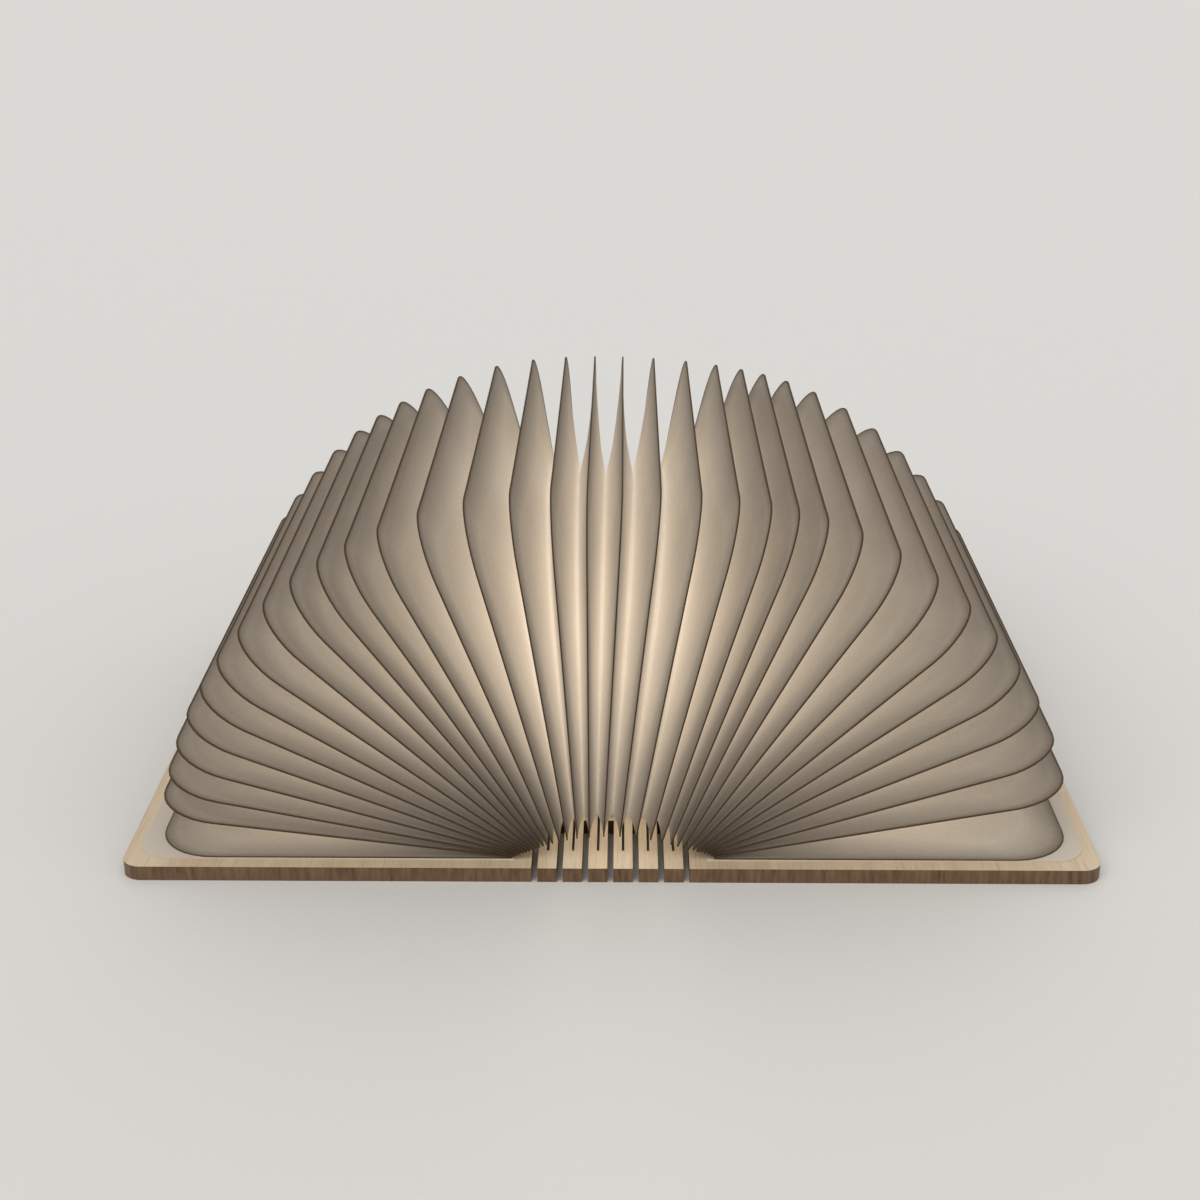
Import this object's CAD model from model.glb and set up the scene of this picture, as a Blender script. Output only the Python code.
"""Looks of the folding book lamp: folded paper pages, a slit wooden spine, covers and light module."""

import math

import bpy
from mathutils import Matrix, Vector


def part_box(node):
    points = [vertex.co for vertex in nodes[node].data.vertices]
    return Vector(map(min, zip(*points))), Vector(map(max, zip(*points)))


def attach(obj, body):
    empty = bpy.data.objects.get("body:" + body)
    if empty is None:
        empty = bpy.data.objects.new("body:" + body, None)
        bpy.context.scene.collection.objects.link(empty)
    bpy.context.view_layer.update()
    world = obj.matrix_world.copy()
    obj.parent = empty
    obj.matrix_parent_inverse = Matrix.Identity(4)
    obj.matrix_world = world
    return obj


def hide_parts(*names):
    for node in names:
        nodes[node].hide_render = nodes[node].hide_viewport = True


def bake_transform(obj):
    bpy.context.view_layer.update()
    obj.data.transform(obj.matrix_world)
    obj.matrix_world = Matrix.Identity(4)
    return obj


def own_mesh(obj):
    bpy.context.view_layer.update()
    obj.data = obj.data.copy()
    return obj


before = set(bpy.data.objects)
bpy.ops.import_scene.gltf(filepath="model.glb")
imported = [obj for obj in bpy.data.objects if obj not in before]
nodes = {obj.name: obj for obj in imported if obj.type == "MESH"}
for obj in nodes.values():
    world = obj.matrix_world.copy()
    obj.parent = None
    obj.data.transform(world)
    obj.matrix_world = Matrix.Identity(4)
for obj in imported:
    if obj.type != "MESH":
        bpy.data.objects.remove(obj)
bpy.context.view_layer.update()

MM = 0.001


def cad_extent(node, axis):
    """Extent of a CAD node along x, y or z, in mm."""
    low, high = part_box(node)
    i = "xyz".index(axis)
    return round((high[i] - low[i]) / MM, 3)


# ------------------------------------------------------------------ camera
CAMERA_AT = (2.2, -382.0, 188.4)  # mm
CAMERA_PITCH = 21.98  # degrees below level
CAMERA_YAW = -0.73  # degrees, where a positive angle looks further right
CAMERA_ROLL = -0.11  # degrees
FOCAL_PIXELS = 1905
FRAME_PIXELS = 1200
SENSOR = 36.0  # mm
NEAR_CLIP = 0.01  # m


def add_camera():
    yaw, pitch, roll = (math.radians(a) for a in (CAMERA_YAW, CAMERA_PITCH, CAMERA_ROLL))
    forward = Vector(
        (math.sin(yaw) * math.cos(pitch), math.cos(yaw) * math.cos(pitch), -math.sin(pitch))
    )
    level = Vector((math.cos(yaw), -math.sin(yaw), 0))
    upward = level.cross(forward)
    right = level * math.cos(roll) + upward * math.sin(roll)
    up = upward * math.cos(roll) - level * math.sin(roll)
    data = bpy.data.cameras.new("camera")
    data.sensor_width = SENSOR
    data.lens = FOCAL_PIXELS / FRAME_PIXELS * SENSOR
    data.clip_start = NEAR_CLIP
    camera = bpy.data.objects.new("camera", data)
    bpy.context.scene.collection.objects.link(camera)
    turn = Matrix((right, up, -forward)).transposed().to_4x4()
    camera.matrix_world = Matrix.Translation(Vector(CAMERA_AT) * MM) @ turn
    bpy.context.scene.camera = camera


# ------------------------------------------------------------------ the fan of pages, in mm
PAGES = 33
PAGE_L = cad_extent("page_17", "y")
PAGE_R = 72.5
CORNER_R = 11.5
HOLLOW_A = 48.5  # half-axes of the oval hollow, along the spine and up the page
HOLLOW_B = 57.5
FIRST_ANGLE = 7.0  # degrees between each outermost page and its cover
LAST_ANGLE = 10.5
BOARD_T = cad_extent("left_cover", "z")
LINING_T = cad_extent("left_lining", "z")
FAN_Z = BOARD_T + 0.3
LINING_FOOT_Z = BOARD_T + LINING_T + 0.1  # the outermost leaves lie just over the linings
LEAF_T = 0.14

SETTLE_WAVE = (2.6, 25, 206)  # slow bunching: height, step from page to page and start, in degrees
SETTLE_RIPPLE = (-0.9, 57)  # quick bunching: height and step
FOOT_SHIFT = 0.5  # the fan stands a little to the right of the middle
FOOT_SPREAD = 7.8  # share of the feet's spread that is even from page to page
FOOT_STACK = 9.2  # share that stacks the feet at both covers
STACK_SLOPE = 4.2  # how suddenly the feet part over the middle
WIDEST_PLACE = 0.13  # where in the fan the feet stand furthest apart
LEAN_WAVES = (4.8, 1.1)  # degrees of opening over the middle, once and twice along the fan
LEAN_LEFT = 2.4  # lean of the middle pages towards the left cover
LEAN_LEFT_SIDES = 13  # more of it halfway towards both covers
FOOT_R_OUTER = 2.6  # lift of the feet at the covers
FOOT_R_MIDDLE = 4.9  # lift of the feet over the middle of the spine
LIFT_REACH = 13  # distance from the middle at which the extra lift ends


def sin_deg(a):
    return math.sin(math.radians(a))


def place(k):
    """Place of seam k in the fan, from -1 at the left cover to 1 at the right cover."""
    return 2 * k / (PAGES - 1) - 1


def settle(k):
    """Bunching of the pages along the fan, in degrees, as folded paper settles."""
    height, step, start = SETTLE_WAVE
    ripple_height, ripple_step = SETTLE_RIPPLE
    return height * sin_deg(step * k + start) + ripple_height * sin_deg(ripple_step * k)


def foot_x(k):
    t = place(k)
    stacked = math.tanh(STACK_SLOPE * (t - WIDEST_PLACE))
    return FOOT_SHIFT + FOOT_SPREAD * t + FOOT_STACK * stacked


def page_angle(k):
    """Lean of page k in degrees, counted from the right-hand cover."""
    t = place(k)
    half = 90 - (FIRST_ANGLE if t < 0 else LAST_ANGLE)
    inside = 1 - t * t
    waves = LEAN_WAVES[0] * sin_deg(180 * t) + LEAN_WAVES[1] * sin_deg(360 * t)
    return 90 - half * t + waves + inside * (LEAN_LEFT + LEAN_LEFT_SIDES * t * t + settle(k))


def foot_r(k):
    """Distance from the fan's line to the lower ends of page k."""
    lift = max(0, 1 - (foot_x(k) / LIFT_REACH) ** 2)
    return FOOT_R_OUTER + (FOOT_R_MIDDLE - FOOT_R_OUTER) * lift


def seam_line(k):
    """(foot x, foot z, angle, foot radius) of seam k; -1 and PAGES lie on the covers' linings."""
    if k < 0:
        return (foot_x(0), LINING_FOOT_Z, 180, foot_r(0))
    if k > PAGES - 1:
        return (foot_x(PAGES - 1), LINING_FOOT_Z, 0, foot_r(PAGES - 1))
    return (foot_x(k), FAN_Z, page_angle(k), foot_r(k))


def between(a, b, s):
    return tuple(p + (q - p) * s for p, q in zip(a, b))


LEG_STEPS = 16
CORNER_STEPS = 9
TOP_STEPS = 22


def outer_edge(foot):
    """Outer edge of a page as (y, r), from its front foot over the top to its back foot."""
    e, top, c = PAGE_L / 2, PAGE_R - CORNER_R, CORNER_R
    half = [(-e, foot + (top - foot) * i / LEG_STEPS) for i in range(LEG_STEPS)]
    for i in range(CORNER_STEPS + 1):
        a = math.pi / 2 * i / CORNER_STEPS
        half.append((-e + c - c * math.cos(a), top + c * math.sin(a)))
    half += [((-e + c) * (1 - 2 * i / TOP_STEPS), PAGE_R) for i in range(1, TOP_STEPS // 2)]
    return half + [(0.0, PAGE_R)] + [(-y, r) for y, r in reversed(half)]


def hollow_point(p):
    """The point of the hollow's edge that lies in the same direction from the foot as p."""
    s = 1 / math.hypot(p[0] / HOLLOW_A, p[1] / HOLLOW_B)
    return (p[0] * s, p[1] * s)


def on_line(line, p, side=0.0):
    """Point in metres that lies at p = (y, r) in the plane of a line, or beside it by side mm."""
    c, s = math.cos(math.radians(line[2])), math.sin(math.radians(line[2]))
    return Vector((line[0] + p[1] * c - side * s, p[0], line[1] + p[1] * s + side * c)) * MM


def bezier(a, b, c, d, t):
    u = 1 - t
    return a * u**3 + 3 * b * u * u * t + 3 * c * u * t * t + d * t**3


HALF_STEPS = 10
TROUGH_DEPTH = (0, 0.40, 0.76, 1)  # control points of the curve from a seam to the fold's middle
TROUGH_ACROSS = (0, 0.10, 0.58, 1)


def trough_profile():
    """(depth, across) from one seam down round the fold and up to the next, both from 0 to 1."""
    down = [
        (bezier(*TROUGH_DEPTH, i / HALF_STEPS), 0.5 * bezier(*TROUGH_ACROSS, i / HALF_STEPS))
        for i in range(HALF_STEPS + 1)
    ]
    return down + [(d, 1 - s) for d, s in reversed(down[:-1])]


# ------------------------------------------------------------------ materials
def new_material(name):
    material = bpy.data.materials.new(name)
    material.use_nodes = True
    return material, material.node_tree, material.node_tree.nodes["Principled BSDF"]


def add(tree, kind, **inputs):
    node = tree.nodes.new("ShaderNode" + kind)
    for key, value in inputs.items():
        node.inputs[key.replace("_", " ")].default_value = value
    return node


def ramp(tree, source, stops):
    node = tree.nodes.new("ShaderNodeValToRGB")
    elements = node.color_ramp.elements
    while len(elements) < len(stops):
        elements.new(0.5)
    for element, (position, color) in zip(elements, stops):
        element.position = position
        element.color = (*color, 1)
    tree.links.new(source, node.inputs["Fac"])
    return node.outputs["Color"]


def mix(tree, mode, factor, a, b):
    node = tree.nodes.new("ShaderNodeMix")
    node.data_type = "RGBA"
    node.blend_type = mode
    for socket, value in ((node.inputs[0], factor), (node.inputs[6], a), (node.inputs[7], b)):
        if hasattr(value, "is_linked"):
            tree.links.new(value, socket)
        else:
            socket.default_value = value
    return node.outputs[2]


def stretched_noise(tree, coords, scale, detail, roughness=0.55, distortion=0.0):
    mapping = add(tree, "Mapping", Scale=scale)
    tree.links.new(coords, mapping.inputs["Vector"])
    noise = add(tree, "TexNoise", Scale=1.0, Detail=detail, Roughness=roughness)
    noise.inputs["Distortion"].default_value = distortion
    tree.links.new(mapping.outputs["Vector"], noise.inputs["Vector"])
    return noise.outputs["Fac"]


def bump(tree, shader, height, strength, distance):
    node = add(tree, "Bump", Strength=strength, Distance=distance)
    tree.links.new(height, node.inputs["Height"])
    tree.links.new(node.outputs["Normal"], shader.inputs["Normal"])


WHITE = (1.0, 1.0, 1.0)
GLOW = (1.0, 0.895, 0.76, 1)  # colour of the lamp's own light, through the paper
PAPER_DARK = (0.61, 0.547, 0.46)
PAPER_PALE = (0.75, 0.682, 0.587)
CLOUD_TONE = (0.93, 0.93, 0.93)  # darkening inside the paper's clouds
EDGE_REACH = 10.0  # mm from the seam, over which the paper turns from scorched to clean
EDGE_TONES = [  # share of that reach, and the darkening there
    (0.0, (0.11, 0.075, 0.05)),
    (0.015, (0.15, 0.11, 0.075)),
    (0.04, (0.34, 0.305, 0.27)),
    (0.25, (0.56, 0.535, 0.51)),
    (0.9, WHITE),
]
PORE_TONE = (0.80, 0.76, 0.70)  # darkening inside the wood's pores
SCORCH_DARK = (0.085, 0.043, 0.018)
SCORCH_PALE = (0.21, 0.125, 0.065)

# Noise waves per metre, along each axis: of a sheet's UV, or of the object where y is the spine's
FIBRE_SCALE = (900, 1700, 1)
CLOUD_SCALE = (60, 60, 1)
GRAIN_SCALE = (260, 9, 260)
PORE_SCALE = (2600, 90, 2600)
SCORCH_SCALE = (1100, 1100, 160)


def named_value(tree, name):
    attribute = tree.nodes.new("ShaderNodeAttribute")
    attribute.attribute_name = name
    return attribute.outputs["Fac"]


def paper_material(name, glow):
    """Warm translucent fibre paper. Its own light rises with the point attribute named glow.

    A second attribute, from_seam, is the distance in mm from the glued, laser-cut edge, where the
    paper is scorched and the glue under it makes it darker. Paper with no glow uses neither.
    """
    material, tree, shader = new_material(name)
    coords = tree.nodes.new("ShaderNodeTexCoord").outputs["UV"]
    fibres = stretched_noise(tree, coords, FIBRE_SCALE, detail=6, roughness=0.75, distortion=1.2)
    clouds = stretched_noise(tree, coords, CLOUD_SCALE, detail=3)
    tone = ramp(tree, fibres, [(0.3, PAPER_DARK), (0.7, PAPER_PALE)])
    shade = ramp(tree, clouds, [(0.3, CLOUD_TONE), (0.7, WHITE)])
    color = mix(tree, "MULTIPLY", 1.0, tone, shade)
    if glow:
        reach = add(tree, "Math")
        reach.operation = "DIVIDE"
        reach.inputs[1].default_value = EDGE_REACH
        tree.links.new(named_value(tree, "from_seam"), reach.inputs[0])
        edge = ramp(tree, reach.outputs[0], EDGE_TONES)
        color = mix(tree, "MULTIPLY", 1.0, color, edge)
    tree.links.new(color, shader.inputs["Base Color"])
    shader.inputs["Roughness"].default_value = 0.88
    shader.inputs["Specular IOR Level"].default_value = 0.25
    bump(tree, shader, fibres, 0.2, 0.0002)
    if glow:
        strength = add(tree, "Math")
        strength.operation = "MULTIPLY"
        strength.inputs[1].default_value = glow
        tree.links.new(named_value(tree, "glow"), strength.inputs[0])
        tree.links.new(strength.outputs[0], shader.inputs["Emission Strength"])
        shader.inputs["Emission Color"].default_value = GLOW
    return material


def scorch_color(tree, coords):
    """Brown of a laser cut, streaked across the board's thickness."""
    streaks = stretched_noise(tree, coords.outputs["Object"], SCORCH_SCALE, detail=5)
    return ramp(tree, streaks, [(0.3, SCORCH_DARK), (0.7, SCORCH_PALE)])


def wood_material(name, pale, dark, scorched_sides):
    """Pale fine-grained wood with its grain along the spine, and laser-scorched cut faces."""
    material, tree, shader = new_material(name)
    coords = tree.nodes.new("ShaderNodeTexCoord")
    solid = coords.outputs["Object"]
    grain = stretched_noise(tree, solid, GRAIN_SCALE, detail=9, roughness=0.62, distortion=0.7)
    pores = stretched_noise(tree, solid, PORE_SCALE, detail=4)
    tone = ramp(tree, grain, [(0.28, dark), (0.52, pale), (0.75, tuple(c * 1.08 for c in pale))])
    flecks = ramp(tree, pores, [(0.36, PORE_TONE), (0.50, WHITE)])
    color = mix(tree, "MULTIPLY", 0.6, tone, flecks)
    if scorched_sides:
        split = tree.nodes.new("ShaderNodeSeparateXYZ")
        tree.links.new(coords.outputs["Normal"], split.inputs[0])
        steep = add(tree, "Math")
        steep.operation = "ABSOLUTE"
        tree.links.new(split.outputs["Z"], steep.inputs[0])
        side = add(tree, "Math")
        side.operation = "LESS_THAN"
        side.inputs[1].default_value = 0.5
        tree.links.new(steep.outputs[0], side.inputs[0])
        color = mix(tree, "MIX", side.outputs[0], color, scorch_color(tree, coords))
    tree.links.new(color, shader.inputs["Base Color"])
    shader.inputs["Roughness"].default_value = 0.52
    bump(tree, shader, pores, 0.15, 0.0002)
    return material


def lamp_lit(material, reach, strength):
    """Adds the lamp's own light on a board, fading with the distance from the spine's middle."""
    tree = material.node_tree
    shader = tree.nodes["Principled BSDF"]
    split = tree.nodes.new("ShaderNodeSeparateXYZ")
    tree.links.new(tree.nodes.new("ShaderNodeTexCoord").outputs["Object"], split.inputs[0])
    fade = add(tree, "MapRange")
    fade.interpolation_type = "SMOOTHSTEP"
    distance = add(tree, "Math")
    distance.operation = "ABSOLUTE"
    tree.links.new(split.outputs["X"], distance.inputs[0])
    tree.links.new(distance.outputs[0], fade.inputs["Value"])
    fade.inputs["From Max"].default_value = reach
    fade.inputs["To Min"].default_value = strength
    fade.inputs["To Max"].default_value = 0
    tree.links.new(fade.outputs[0], shader.inputs["Emission Strength"])
    tree.links.new(shader.inputs["Base Color"].links[0].from_socket, shader.inputs["Emission Color"])


def scorched_material(name):
    """A face that is a laser cut all over."""
    material, tree, shader = new_material(name)
    coords = tree.nodes.new("ShaderNodeTexCoord")
    tree.links.new(scorch_color(tree, coords), shader.inputs["Base Color"])
    shader.inputs["Roughness"].default_value = 0.8
    return material


def moulded_material(name, color, roughness, grain=900, spread=0.06, metallic=0.0, depth=0.08):
    """A plain substance with fine surface grain: plastic, metal, coated film or tape."""
    material, tree, shader = new_material(name)
    coords = tree.nodes.new("ShaderNodeTexCoord").outputs["Object"]
    noise = stretched_noise(tree, coords, (grain, grain, grain), detail=4)
    low = tuple(c * (1 - spread) for c in color)
    high = tuple(min(1.0, c * (1 + spread)) for c in color)
    tree.links.new(ramp(tree, noise, [(0.3, low), (0.7, high)]), shader.inputs["Base Color"])
    shader.inputs["Roughness"].default_value = roughness
    shader.inputs["Metallic"].default_value = metallic
    bump(tree, shader, noise, depth, 0.0001)
    return material


def lit_material(name, color, roughness, strength):
    """A moulded piece with the lamp's light shining through it."""
    material = moulded_material(name, color, roughness)
    shader = material.node_tree.nodes["Principled BSDF"]
    shader.inputs["Emission Color"].default_value = GLOW
    shader.inputs["Emission Strength"].default_value = strength
    return material


WOOD_PALE = (0.70, 0.56, 0.39)
WOOD_DARK = (0.62, 0.475, 0.315)
PAPER_GLOW = 0.52
LAMP_REACH = 0.022  # m from the spine's middle to where the lamp's light on the board ends
LAMP_STRENGTH = 0.35

paper = paper_material("paper", PAPER_GLOW)
lining_paper = paper_material("lining_paper", 0)
wood = wood_material("wood", WOOD_PALE, WOOD_DARK, scorched_sides=True)
spine_wood = wood_material("spine_wood", WOOD_PALE, WOOD_DARK, scorched_sides=False)
scorched = scorched_material("scorched")
lamp_lit(spine_wood, LAMP_REACH, LAMP_STRENGTH)
lamp_lit(wood, LAMP_REACH, LAMP_STRENGTH)


# ------------------------------------------------------------------ meshes
def link(name, mesh, materials):
    for material in materials:
        mesh.materials.append(material)
    obj = bpy.data.objects.new(name, mesh)
    bpy.context.scene.collection.objects.link(obj)
    return obj


def point_values(mesh, name, rows):
    attribute = mesh.attributes.new(name, "FLOAT", "POINT")
    attribute.data.foreach_set("value", [value for row in rows for value in row])


def sheet_mesh(name, rows, uvs, glow, from_seam):
    """A smooth sheet through rows of points, with a UV in metres and two values per point."""
    columns = len(rows[0])
    points = [p for row in rows for p in row]
    faces = [
        (i * columns + j, i * columns + j + 1, (i + 1) * columns + j + 1, (i + 1) * columns + j)
        for i in range(len(rows) - 1)
        for j in range(columns - 1)
    ]
    mesh = bpy.data.meshes.new(name)
    mesh.from_pydata(points, [], faces)
    layer = mesh.uv_layers.new(name="flat")
    flat = [uv for row in uvs for uv in row]
    for loop in mesh.loops:
        layer.data[loop.index].uv = flat[loop.vertex_index]
    point_values(mesh, "glow", glow)
    point_values(mesh, "from_seam", from_seam)
    mesh.shade_smooth()
    return mesh


BRIGHT_R = 40  # mm from the feet to the brightest height of the pages
BRIGHT_REACH = 28  # mm above and below it over which the light fades
LEAST_LIGHT = 0.30  # share of the light that is left far from that height
MIDDLE_REACH = 0.4  # share of half the fan over which the folds' bright lines fade
LEAF_LIGHT = 0.62  # light of a whole leaf, which grows evenly towards its fold
LEAF_RISE = 0.9
FOLD_LIGHT = 0.38  # more light along the fold alone
FOLD_RISE = 20


def glow_at(k, depth, r):
    """Light that comes through the paper: most at the folds, over the module and mid-fan."""
    middle = math.exp(-((place(k) / MIDDLE_REACH) ** 2))
    bright = math.exp(-(((r - BRIGHT_R) / BRIGHT_REACH) ** 2))
    height = LEAST_LIGHT + (1 - LEAST_LIGHT) * bright
    return height * (LEAF_LIGHT * depth**LEAF_RISE + FOLD_LIGHT * middle * depth**FOLD_RISE)


FOOT_ARCH = 0.9  # mm that the leaves' lower edges rise between two seams
ARCH_POWER = 4  # how soon the arch fades towards the seams and up the leaves
FIBRE_SHIFT = 0.1  # m from one sheet's stretch of fibres to the next


def fold_sheet(name, k):
    """The leaf pair that runs from seam k down round its fold and up to seam k + 1."""
    a, b = seam_line(k), seam_line(k + 1)
    edge_a, edge_b = outer_edge(a[3]), outer_edge(b[3])
    profile = trough_profile()
    rows, uvs, glow, from_seam = [], [], [], []
    along = 0.0
    for i, (pa, pb) in enumerate(zip(edge_a, edge_b)):
        if i:
            along += math.dist(edge_a[i - 1], pa) * MM
        row, uv_row, glow_row, seam_row = [], [], [], []
        # 1 at the lower ends of the sheet, falling to 0 where its corners begin
        low = max(0.0, 1 - (pa[1] - a[3]) / (PAGE_R - CORNER_R - a[3])) ** ARCH_POWER
        for depth, across in profile:
            edge = between(pa, pb, across)
            p = between(edge, hollow_point(edge), depth)
            p = (p[0], p[1] + FOOT_ARCH * low * (1 - (2 * across - 1) ** ARCH_POWER))
            row.append(on_line(between(a, b, across), p))
            distance = depth * math.dist(edge, hollow_point(edge))
            uv_row.append((along, distance * MM + FIBRE_SHIFT * k))
            glow_row.append(glow_at(k + 0.5, depth, p[1]))
            seam_row.append(distance)
        rows.append(row)
        uvs.append(uv_row)
        glow.append(glow_row)
        from_seam.append(seam_row)
    obj = link(name, sheet_mesh(name, rows, uvs, glow, from_seam), [paper])
    thickness = obj.modifiers.new("leaf", "SOLIDIFY")
    thickness.thickness = LEAF_T * MM
    thickness.offset = 0
    return obj


def apply_modifiers(obj):
    depsgraph = bpy.context.evaluated_depsgraph_get()
    mesh = bpy.data.meshes.new_from_object(obj.evaluated_get(depsgraph))
    obj.modifiers.clear()
    obj.data = mesh


SEAM_DEPTH = 1.0  # how far the glued strip reaches in from the edge of the page
SEAM_T = 0.28  # its thickness at the edge of the page
SEAM_INNER_T = 0.1  # its thickness at the inner end, between the two leaves


def seam_strip(name, k):
    """The glued outer edge that joins the two leaves of page k, with a darker cut edge."""
    line = seam_line(k)
    rings = []
    for p in outer_edge(line[3]):
        h = hollow_point(p)
        q = between(p, h, SEAM_DEPTH / max(SEAM_DEPTH, math.dist(p, h)))
        rings.append(
            [
                on_line(line, w, side / 2)
                for w, side in ((p, -SEAM_T), (p, SEAM_T), (q, SEAM_INNER_T), (q, -SEAM_INNER_T))
            ]
        )
    mesh = bpy.data.meshes.new(name)
    points = [p for ring in rings for p in ring]
    faces = []
    for i in range(len(rings) - 1):
        for j in range(4):
            a, b = 4 * i + j, 4 * i + (j + 1) % 4
            faces.append((a, a + 4, b + 4, b))
    end = 4 * (len(rings) - 1)
    faces += [(0, 1, 2, 3), (end + 3, end + 2, end + 1, end)]
    mesh.from_pydata(points, [], faces)
    layer = mesh.uv_layers.new(name="flat")
    for loop in mesh.loops:
        layer.data[loop.index].uv = (points[loop.vertex_index].y, points[loop.vertex_index].z)
    point_values(mesh, "glow", [[0.0] * 4 for ring in rings])
    point_values(mesh, "from_seam", [[0.0, 0.0, SEAM_DEPTH, SEAM_DEPTH] for ring in rings])
    return link(name, mesh, [paper])


def page_body(k):
    return f"page_{k + 1:02d}_leaves"


def build_pages():
    for k in range(PAGES):
        strip = seam_strip(f"seam_{k + 1:02d}", k)
        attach(strip, page_body(k))
        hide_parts(f"page_{k + 1:02d}")
    for k in range(PAGES - 1):
        obj = fold_sheet(f"fold_{k + 1:02d}", k)
        apply_modifiers(obj)
        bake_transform(obj)


def build_end_leaves():
    for side, k, seam in (("left", -1, 0), ("right", PAGES - 1, PAGES - 1)):
        obj = fold_sheet(f"{side}_end_leaf", k)
        apply_modifiers(obj)
        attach(obj, page_body(seam))
        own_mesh(obj)


# ------------------------------------------------------------------ slit spine, in mm
COVER_L = cad_extent("left_cover", "y")
SLIT_PITCH = 2.45
OPEN_SLIT = 1.2  # width of the slits that run out through both edges of the board
CLOSED_SLIT = 0.5  # width of the slits between them, which stop short of the edges
BRIDGE_L = 2.5
CLOSED_MARGIN = 7.0
OPEN_ROWS = 3  # rows of open slits on each side of the middle row
JOINT_GAP = 0.06  # between the spine and a cover, across a bridge


def near_bridge(y, bridges):
    return any(abs(y - b) < BRIDGE_L / 2 for b in bridges)


def spine_grid():
    """Grid of the right half: lines across x and y, and the cells that the laser left standing.

    The lines are the slits' sides and ends, from the middle row to the cover's first row.
    """
    closed_end = COVER_L / 2 - CLOSED_MARGIN
    pitch = closed_end / 2
    open_bridges = [i * pitch for i in (-1.5, -0.5, 0.5, 1.5)]
    closed_bridges = [i * pitch for i in (-1, 0, 1)]
    xs, rows = [0.0], []
    for i in range(2 * OPEN_ROWS + 1):
        width = CLOSED_SLIT if i % 2 else OPEN_SLIT
        x0, x1 = i * SLIT_PITCH - width / 2, i * SLIT_PITCH + width / 2
        rows.append((x0, x1, i % 2 == 0))
        xs += [x for x in (x0, x1) if x > 0]
    cut = 2 * OPEN_ROWS * SLIT_PITCH - JOINT_GAP / 2
    xs = sorted(min(x, cut) for x in xs)
    ys = {COVER_L / 2, -COVER_L / 2, closed_end, -closed_end}
    for b in open_bridges + closed_bridges:
        ys |= {b - BRIDGE_L / 2, b + BRIDGE_L / 2}
    ys = sorted(ys)

    def solid(x, y):
        for x0, x1, is_open in rows:
            if x0 < x < x1:
                if is_open:
                    return near_bridge(y, open_bridges)
                return abs(y) > closed_end or near_bridge(y, closed_bridges)
        return True

    cells = [
        (i, j)
        for i in range(len(xs) - 1)
        for j in range(len(ys) - 1)
        if solid((xs[i] + xs[i + 1]) / 2, (ys[j] + ys[j + 1]) / 2)
    ]
    return xs, ys, cells


def spine_half(side):
    """One half of the flexible board, with side 1 for the right half and -1 for the left one."""
    xs, ys, cells = spine_grid()
    points, corners = [], {}

    def corner(i, j, z):
        if (i, j, z) not in corners:
            corners[i, j, z] = len(points)
            points.append((side * xs[i] * MM, ys[j] * MM, z * MM))
        return corners[i, j, z]

    flats, cuts = [], []
    for i, j in cells:
        ring = [(i, j), (i + 1, j), (i + 1, j + 1), (i, j + 1)]
        neighbours = [(i, j - 1), (i + 1, j), (i, j + 1), (i - 1, j)]
        low = [corner(*c, 0) for c in ring]
        high = [corner(*c, BOARD_T) for c in ring]
        flats += [low[::-1], high]
        for n, neighbour in enumerate(neighbours):
            if neighbour not in cells:
                m = (n + 1) % 4
                cuts.append([low[n], low[m], high[m], high[n]])
    faces = [loop if side > 0 else loop[::-1] for loop in flats + cuts]
    mesh = bpy.data.meshes.new("spine")
    mesh.from_pydata(points, [], faces)
    name = "spine_right_half" if side > 0 else "spine_left_half"
    obj = link(name, mesh, [spine_wood, scorched])
    for face in mesh.polygons[len(flats) :]:
        face.material_index = 1
    return obj


def build_spine():
    for side, name in ((-1, "left"), (1, "right")):
        obj = spine_half(side)
        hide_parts("spine")
        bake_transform(obj)


# ------------------------------------------------------------------ CAD nodes
def dress_nodes():
    """Gives every CAD node that is shown its own finish."""
    plastic = moulded_material("white_plastic", (0.72, 0.72, 0.69), 0.5)
    magnet = moulded_material("magnet", (0.62, 0.62, 0.64), 0.22, metallic=1.0)
    finishes = {
        "left_cover": wood,
        "right_cover": wood,
        "left_lining": lining_paper,
        "right_lining": lining_paper,
        "left_cover_magnets": magnet,
        "right_cover_magnets": magnet,
        "module_base": plastic,
        "led_tray": plastic,
        "diffuser": lit_material("diffuser", (0.80, 0.74, 0.62), 0.45, 0.35),
        "led_board": moulded_material("led_board", (0.78, 0.78, 0.75), 0.4),
        "led_chips": lit_material("led", (0.85, 0.66, 0.22), 0.25, 0.6),
        "battery": moulded_material("battery", (0.30, 0.38, 0.47), 0.35, grain=500),
        "control_board": moulded_material("circuit_board", (0.035, 0.16, 0.075), 0.35, grain=1400),
        "charge_socket": moulded_material("steel", (0.60, 0.61, 0.63), 0.28, metallic=1.0),
        "fold_switch": moulded_material("switch_glass", (0.42, 0.60, 0.50), 0.12),
        "module_screws": moulded_material("screw_steel", (0.55, 0.55, 0.57), 0.3, metallic=1.0),
        "mounting_tape": moulded_material("tape", (0.66, 0.66, 0.62), 0.9, grain=1200, depth=0.3),
    }
    for name, material in finishes.items():
        materials = nodes[name].data.materials
        if not materials:
            materials.append(material)
        for i in range(len(materials)):
            materials[i] = material


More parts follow.
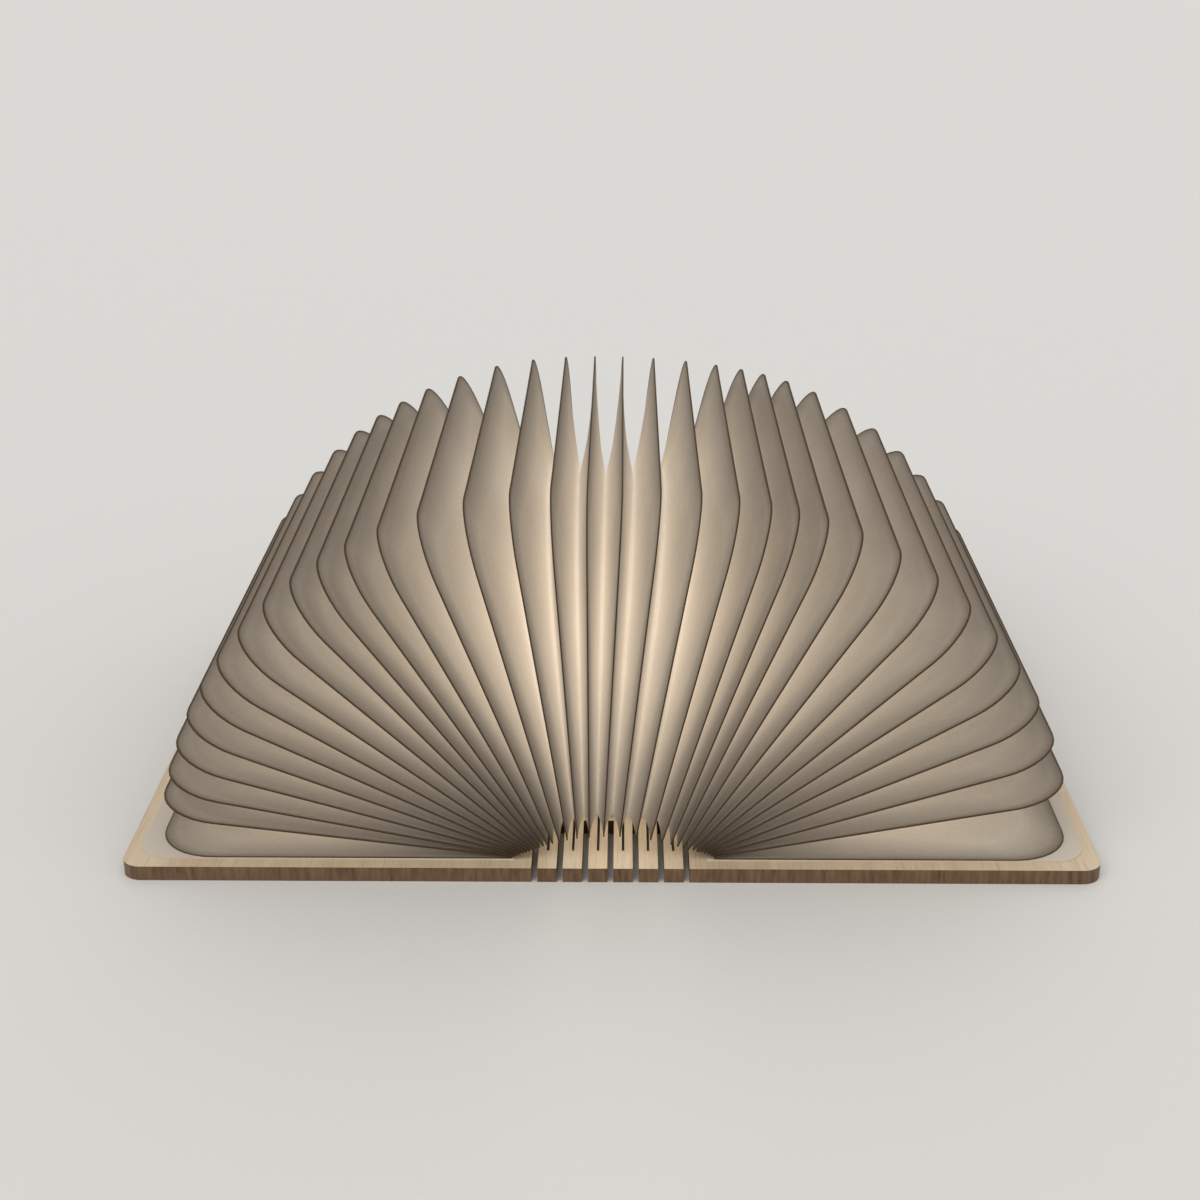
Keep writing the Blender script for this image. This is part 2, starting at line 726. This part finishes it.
# ------------------------------------------------------------------ stage and light
FLOOR_REACH = 20  # m from the middle to each side
FLOOR_COLOR = (0.80, 0.795, 0.78)
WORLD_LIGHT = (0.52, 0.512, 0.50, 1)
BACKDROP = (0.715, 0.70, 0.67, 1)
SUNS = (  # name, direction that it shines from, spread in degrees, power, colour
    ("key", (-0.5, -0.65, 0.85), 50, 0.95, (1.0, 0.97, 0.93)),
    ("fill", (0.8, -0.35, 0.6), 70, 0.35, (1.0, 0.98, 0.96)),
    ("back", (0.2, 0.9, 0.8), 60, 0.35, (0.97, 0.98, 1.0)),
)


def build_stage():
    mesh = bpy.data.meshes.new("floor")
    corners = [(-1, -1), (1, -1), (1, 1), (-1, 1)]
    mesh.from_pydata([(x * FLOOR_REACH, y * FLOOR_REACH, 0) for x, y in corners], [], [(0, 1, 2, 3)])
    finish = moulded_material("floor", FLOOR_COLOR, 0.9, spread=0.004, depth=0.02)
    link("floor", mesh, [finish])


def add_sun(name, direction, spread, power, color):
    data = bpy.data.lights.new(name, "SUN")
    data.angle = math.radians(spread)
    data.energy = power
    data.color = color
    light = bpy.data.objects.new(name, data)
    bpy.context.scene.collection.objects.link(light)
    light.rotation_euler = (-Vector(direction)).to_track_quat("-Z", "Y").to_euler()


def light_scene():
    """Soft suns and an even sky. The camera, gloss and glass see the backdrop in its place."""
    world = bpy.data.worlds.new("studio")
    bpy.context.scene.world = world
    world.use_nodes = True
    tree = world.node_tree
    path = tree.nodes.new("ShaderNodeLightPath")
    seen = path.outputs["Is Camera Ray"]
    for ray in ("Is Glossy Ray", "Is Transmission Ray"):
        either = add(tree, "Math")
        either.operation = "MAXIMUM"
        tree.links.new(seen, either.inputs[0])
        tree.links.new(path.outputs[ray], either.inputs[1])
        seen = either.outputs[0]
    color = mix(tree, "MIX", seen, WORLD_LIGHT, BACKDROP)
    tree.links.new(color, tree.nodes["Background"].inputs["Color"])
    for sun in SUNS:
        add_sun(*sun)
    bpy.context.scene.view_settings.view_transform = "Standard"


add_camera()
build_pages()
build_end_leaves()
build_spine()
dress_nodes()
build_stage()
light_scene()
